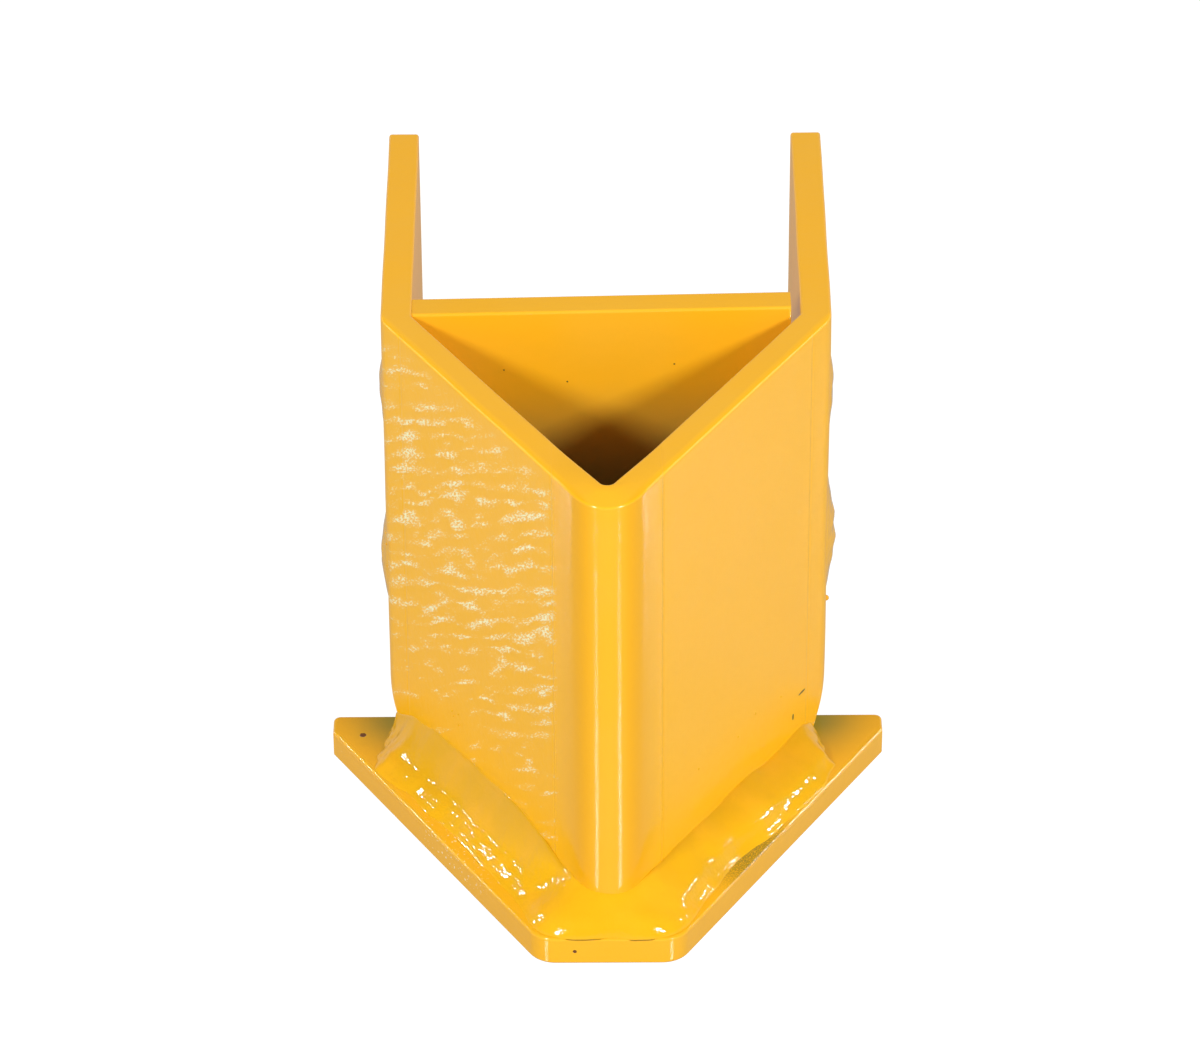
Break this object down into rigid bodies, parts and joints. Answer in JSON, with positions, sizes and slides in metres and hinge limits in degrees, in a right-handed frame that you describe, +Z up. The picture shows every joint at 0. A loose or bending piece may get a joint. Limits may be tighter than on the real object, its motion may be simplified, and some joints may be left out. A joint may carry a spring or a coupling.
{
  "type": "rack post guard",
  "caption": "Low V-nosed steel guard, welded to a floor plate, that stands in front of a pallet-rack post and reaches back along both of its sides.",
  "frame": {"origin": "on the floor, under the middle of the guard's footprint", "axes": "+X to the guard's right seen from its nose, +Y back along the legs to the post, +Z up"},
  "size_m": [0.1168, 0.1494, 0.108],
  "materials": {
    "yellow_paint": "glossy powder coat with a light orange peel",
    "weld_paint": "glossy powder coat over smooth weld beads"
  },
  "bodies": {
    "root": {"nose_plate": "yellow_paint", "back_plate": "yellow_paint", "base_plate": "yellow_paint", "base_weld_left": "weld_paint", "base_weld_right": "weld_paint", "base_weld_nose": "weld_paint", "slot_weld_left_upper": "weld_paint", "slot_weld_left_lower": "weld_paint", "slot_weld_right_upper": "weld_paint", "slot_weld_right_lower": "weld_paint"}
  },
  "joints": []
}
